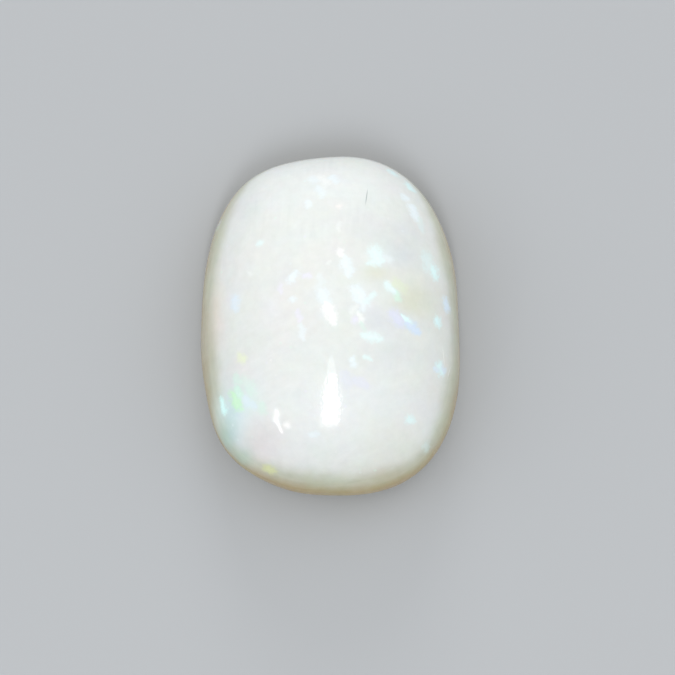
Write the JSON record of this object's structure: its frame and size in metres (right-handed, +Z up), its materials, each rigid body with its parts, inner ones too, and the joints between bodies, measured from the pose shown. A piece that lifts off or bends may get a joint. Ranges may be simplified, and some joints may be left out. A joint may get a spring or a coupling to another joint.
{
  "type": "polished opal cabochon",
  "caption": "Polished white opal cabochon: one cushion-shaped stone with a high dome, a flat back and a soft play of colour.",
  "frame": {"origin": "centre of the flat back that the stone rests on", "axes": "+Z up through the crown of the dome, +Y along the stone's length towards its slightly narrower end, +X across its width"},
  "size_m": [0.009, 0.0122, 0.0046],
  "materials": {
    "white_opal": "polished"
  },
  "bodies": {
    "root": {"opal_cabochon": "white_opal"}
  },
  "joints": []
}
